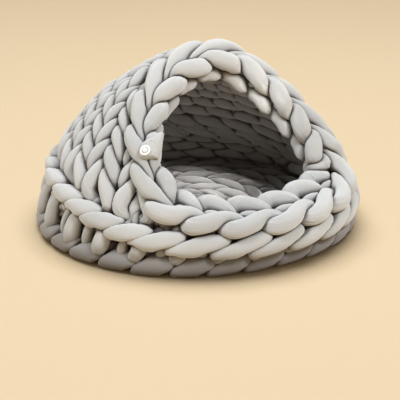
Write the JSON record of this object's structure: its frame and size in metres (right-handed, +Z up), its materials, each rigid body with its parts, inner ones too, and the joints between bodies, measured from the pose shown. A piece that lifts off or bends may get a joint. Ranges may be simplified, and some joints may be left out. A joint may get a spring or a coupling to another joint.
{
  "type": "knitted pet house",
  "caption": "Round pet house of thick stuffed yarn, hand knitted, with a soft floor, a domed hood over the back and a wide mouth in front.",
  "frame": {"origin": "under the middle of the round floor, on the surface it stands on", "axes": "+Z up, the mouth faces -Y, +X is to the right for someone who looks into the mouth"},
  "size_m": [0.4496, 0.4494, 0.2586],
  "materials": {
    "yarn": "light warm grey cotton jersey, stuffed",
    "snap_ring": "pale, smooth",
    "snap_cap": "bright silver"
  },
  "bodies": {
    "root": {"knit_floor": "yarn", "knit_wall_and_hood": "yarn", "yarn_end_tab": "yarn", "snap_ring": "snap_ring", "snap_cap": "snap_cap"}
  },
  "joints": []
}
